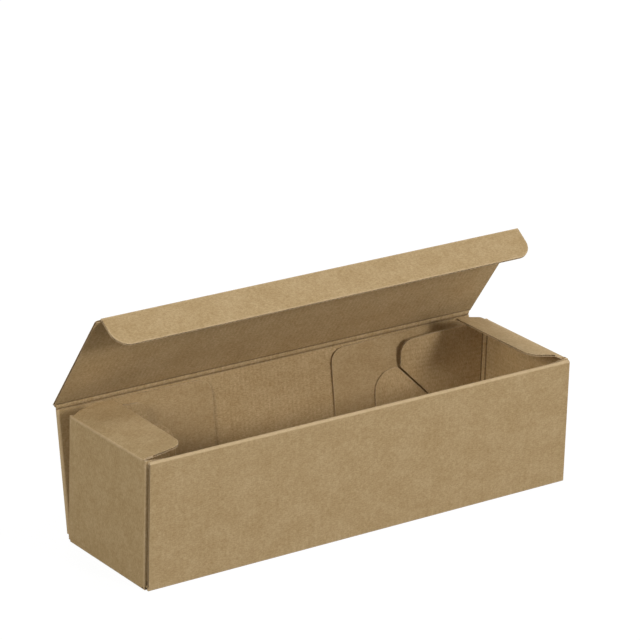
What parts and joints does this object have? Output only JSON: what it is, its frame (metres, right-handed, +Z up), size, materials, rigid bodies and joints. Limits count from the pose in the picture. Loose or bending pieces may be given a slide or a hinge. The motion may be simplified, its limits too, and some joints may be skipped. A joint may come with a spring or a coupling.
{
  "type": "bottle shipping box",
  "caption": "Long folded corrugated carton, lying on its long side, with a hinged lid, a tuck flap, end dust flaps and folded corner gussets.",
  "frame": {"origin": "centre of the bottom face, which lies on the table", "axes": "+X along the length to the right end, +Y from the front wall to the back wall that carries the lid, +Z up"},
  "size_m": [0.34, 0.1137, 0.164],
  "materials": {
    "kraft_board": "matte"
  },
  "bodies": {
    "tray": {"tray": "kraft_board", "left_dust_flap": "kraft_board", "right_dust_flap": "kraft_board"},
    "back_wall": {"back_wall": "kraft_board"},
    "rear_left_tab": {"rear_left_tab": "kraft_board"},
    "rear_right_tab": {"rear_right_tab": "kraft_board"},
    "lid": {"lid": "kraft_board"},
    "tuck_flap": {"tuck_flap": "kraft_board"}
  },
  "joints": [
    {"name": "wall_crease", "type": "hinge", "parent": "tray", "child": "back_wall", "pos_m": [0, 0.0482, 0.0008], "axis": [-1, 0, 0], "range_deg": [-10.2, 5.6]},
    {"name": "lid_crease", "type": "hinge", "parent": "back_wall", "child": "lid", "pos_m": [0, 0.06385, 0.0878], "axis": [-1, 0, 0], "range_deg": [-45.7, 25]},
    {"name": "tuck_crease", "type": "hinge", "parent": "lid", "child": "tuck_flap", "pos_m": [0, 0.01281, 0.1632], "axis": [-1, 0, 0], "range_deg": [0, 90]},
    {"name": "left_tab_crease", "type": "hinge", "parent": "tray", "child": "rear_left_tab", "pos_m": [-0.1692, 0.0433, 0.047], "axis": [0, 0, 1], "range_deg": [-9.8, 5.4]},
    {"name": "right_tab_crease", "type": "hinge", "parent": "tray", "child": "rear_right_tab", "pos_m": [0.1692, 0.0433, 0.047], "axis": [0, 0, -1], "range_deg": [-9.8, 5.4]}
  ],
  "couplings": [
    {"joint": "wall_crease", "follows": "lid_crease", "ratio": 0.22319},
    {"joint": "left_tab_crease", "follows": "lid_crease", "ratio": 0.21444},
    {"joint": "right_tab_crease", "follows": "lid_crease", "ratio": 0.21444}
  ]
}
